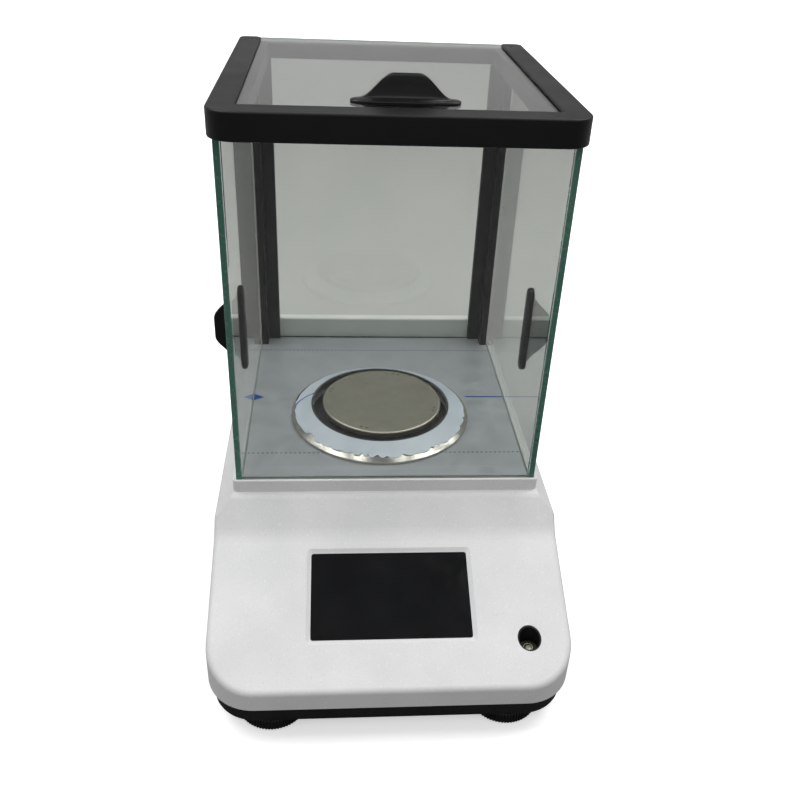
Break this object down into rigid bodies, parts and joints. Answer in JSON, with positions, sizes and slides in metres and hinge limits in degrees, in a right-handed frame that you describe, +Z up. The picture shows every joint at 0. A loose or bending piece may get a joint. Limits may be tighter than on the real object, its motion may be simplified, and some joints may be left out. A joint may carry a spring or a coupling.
{
  "type": "analytical balance",
  "caption": "Bench analytical balance with a glass draft shield of sliding doors, a round pan in a conical ring, a sloping touch screen and levelling feet.",
  "frame": {"origin": "on the bench, at the centre of the footprint under the rubber feet", "axes": "+X to the user's right, +Y to the back, +Z up"},
  "size_m": [0.2166, 0.34, 0.3461],
  "materials": {
    "white_housing": "fine textured",
    "black_plastic": "satin",
    "black_frame": "satin black anodised",
    "sill_grey": "satin",
    "clear_glass": "polished",
    "screen_glass": "polished",
    "stainless": "satin brushed",
    "floor_steel": "satin under protective film",
    "steel": "machined",
    "black_screws": "black oxide",
    "brass": "machined",
    "cell_aluminium": "machined",
    "copper_coil": "enamelled wire",
    "foot_rubber": "matt",
    "circuit_board": "solder mask",
    "display_back": "satin",
    "vial_glass": "polished",
    "socket_plastic": "satin"
  },
  "bodies": {
    "base": {"upper_housing": "white_housing", "base_tray": "black_plastic", "foot_bushes": "brass", "housing_screws": "black_screws", "level_cup": "black_plastic", "level_vial": "vial_glass", "touch_glass": "screen_glass", "display_module": "display_back", "display_board": "circuit_board", "floor_plate": "floor_steel", "cell_collar": "black_plastic", "front_glass": "clear_glass", "rear_glass": "clear_glass", "door_runners": "black_plastic", "top_frame": "black_frame", "frame_screws": "black_screws", "right_pillar": "black_frame", "left_pillar": "black_frame", "rear_crossbar": "black_frame", "rear_sill": "sill_grey", "cell_plate": "cell_aluminium", "cell_screws": "steel", "cell_frame": "cell_aluminium", "guide_plates": "steel", "magnet_pot": "steel", "position_sensor": "circuit_board", "cal_motor": "steel", "cal_guide_rod": "steel", "main_board": "circuit_board", "connector_panel": "socket_plastic", "power_socket": "socket_plastic", "serial_socket": "steel", "usb_socket": "steel"},
    "left_door": {"left_door_glass": "clear_glass", "left_door_grip": "black_plastic", "left_door_plate": "black_plastic"},
    "right_door": {"right_door_glass": "clear_glass", "right_door_grip": "black_plastic", "right_door_plate": "black_plastic"},
    "top_door": {"top_door_glass": "clear_glass", "top_door_grip": "black_plastic", "top_door_plate": "black_plastic"},
    "draft_ring": {"draft_ring": "stainless"},
    "pan_hanger": {"hanger": "cell_aluminium", "pan_pin": "steel"},
    "pan": {"pan": "stainless"},
    "lever": {"lever_beam": "cell_aluminium", "coil": "copper_coil"},
    "calibration_screw": {"cal_screw": "steel"},
    "calibration_lifter": {"cal_lifter": "socket_plastic", "cal_weight": "steel"},
    "hook_cover": {"hook_cover": "black_plastic"},
    "front_left_foot": {"front_left_foot_pad": "foot_rubber"},
    "front_left_wheel": {"front_left_foot_wheel": "black_plastic"},
    "front_right_foot": {"front_right_foot_pad": "foot_rubber"},
    "front_right_wheel": {"front_right_foot_wheel": "black_plastic"},
    "rear_left_foot": {"rear_left_foot_pad": "foot_rubber"},
    "rear_left_wheel": {"rear_left_foot_wheel": "black_plastic"},
    "rear_right_foot": {"rear_right_foot_pad": "foot_rubber"},
    "rear_right_wheel": {"rear_right_foot_wheel": "black_plastic"}
  },
  "joints": [
    {"name": "left_door_slide", "type": "slide", "parent": "base", "child": "left_door", "axis": [0, 1, 0], "range_m": [0, 0.115]},
    {"name": "right_door_slide", "type": "slide", "parent": "base", "child": "right_door", "axis": [0, 1, 0], "range_m": [0, 0.115]},
    {"name": "top_door_slide", "type": "slide", "parent": "base", "child": "top_door", "axis": [0, 1, 0], "range_m": [0, 0.155]},
    {"name": "draft_ring_lift", "type": "slide", "parent": "base", "child": "draft_ring", "axis": [0, 0, 1], "range_m": [0, 0.04]},
    {"name": "pan_hanger_travel", "type": "slide", "parent": "base", "child": "pan_hanger", "axis": [0, 0, 1], "range_m": [-0.0003, 0.0003], "stiffness_N_per_m": 20000, "springref_m": 0.00008},
    {"name": "pan_lift", "type": "slide", "parent": "pan_hanger", "child": "pan", "axis": [0, 0, 1], "range_m": [0, 0.05]},
    {"name": "lever_rock", "type": "hinge", "parent": "base", "child": "lever", "pos_m": [0, 0.04, 0.065], "axis": [1, 0, 0], "range_deg": [-0.75, 0.75]},
    {"name": "calibration_screw_turn", "type": "hinge", "parent": "base", "child": "calibration_screw", "pos_m": [-0.074, 0.0155, 0.05], "axis": [0, 0, 1], "range_deg": [-4, 2164]},
    {"name": "calibration_lifter_slide", "type": "slide", "parent": "base", "child": "calibration_lifter", "axis": [0, 0, 1], "range_m": [-0.003, 0]},
    {"name": "hook_cover_swing", "type": "hinge", "parent": "base", "child": "hook_cover", "pos_m": [0.016, 0.0155, 0.01], "axis": [0, 0, 1], "range_deg": [0, 100]},
    {"name": "front_left_foot_rise", "type": "slide", "parent": "base", "child": "front_left_foot", "axis": [0, 0, 1], "range_m": [-0.0058, 0.0007]},
    {"name": "front_left_wheel_turn", "type": "hinge", "parent": "front_left_foot", "child": "front_left_wheel", "pos_m": [-0.07, -0.1445, 0.006], "axis": [0, 0, 1], "range_deg": [-1680, 216]},
    {"name": "front_right_foot_rise", "type": "slide", "parent": "base", "child": "front_right_foot", "axis": [0, 0, 1], "range_m": [-0.0058, 0.0007]},
    {"name": "front_right_wheel_turn", "type": "hinge", "parent": "front_right_foot", "child": "front_right_wheel", "pos_m": [0.07, -0.1445, 0.006], "axis": [0, 0, 1], "range_deg": [-1680, 216]},
    {"name": "rear_left_foot_rise", "type": "slide", "parent": "base", "child": "rear_left_foot", "axis": [0, 0, 1], "range_m": [-0.0058, 0.0007]},
    {"name": "rear_left_wheel_turn", "type": "hinge", "parent": "rear_left_foot", "child": "rear_left_wheel", "pos_m": [-0.07, 0.138, 0.006], "axis": [0, 0, 1], "range_deg": [-1680, 216]},
    {"name": "rear_right_foot_rise", "type": "slide", "parent": "base", "child": "rear_right_foot", "axis": [0, 0, 1], "range_m": [-0.0058, 0.0007]},
    {"name": "rear_right_wheel_turn", "type": "hinge", "parent": "rear_right_foot", "child": "rear_right_wheel", "pos_m": [0.07, 0.138, 0.006], "axis": [0, 0, 1], "range_deg": [-1680, 216]}
  ],
  "couplings": [
    {"joint": "lever_rock", "follows": "pan_hanger_travel", "rad_per_m": -40.816},
    {"joint": "calibration_screw_turn", "follows": "calibration_lifter_slide", "rad_per_m": -12566},
    {"joint": "front_left_wheel_turn", "follows": "front_left_foot_rise", "rad_per_m": 5026.5},
    {"joint": "front_right_wheel_turn", "follows": "front_right_foot_rise", "rad_per_m": 5026.5},
    {"joint": "rear_left_wheel_turn", "follows": "rear_left_foot_rise", "rad_per_m": 5026.5},
    {"joint": "rear_right_wheel_turn", "follows": "rear_right_foot_rise", "rad_per_m": 5026.5}
  ]
}
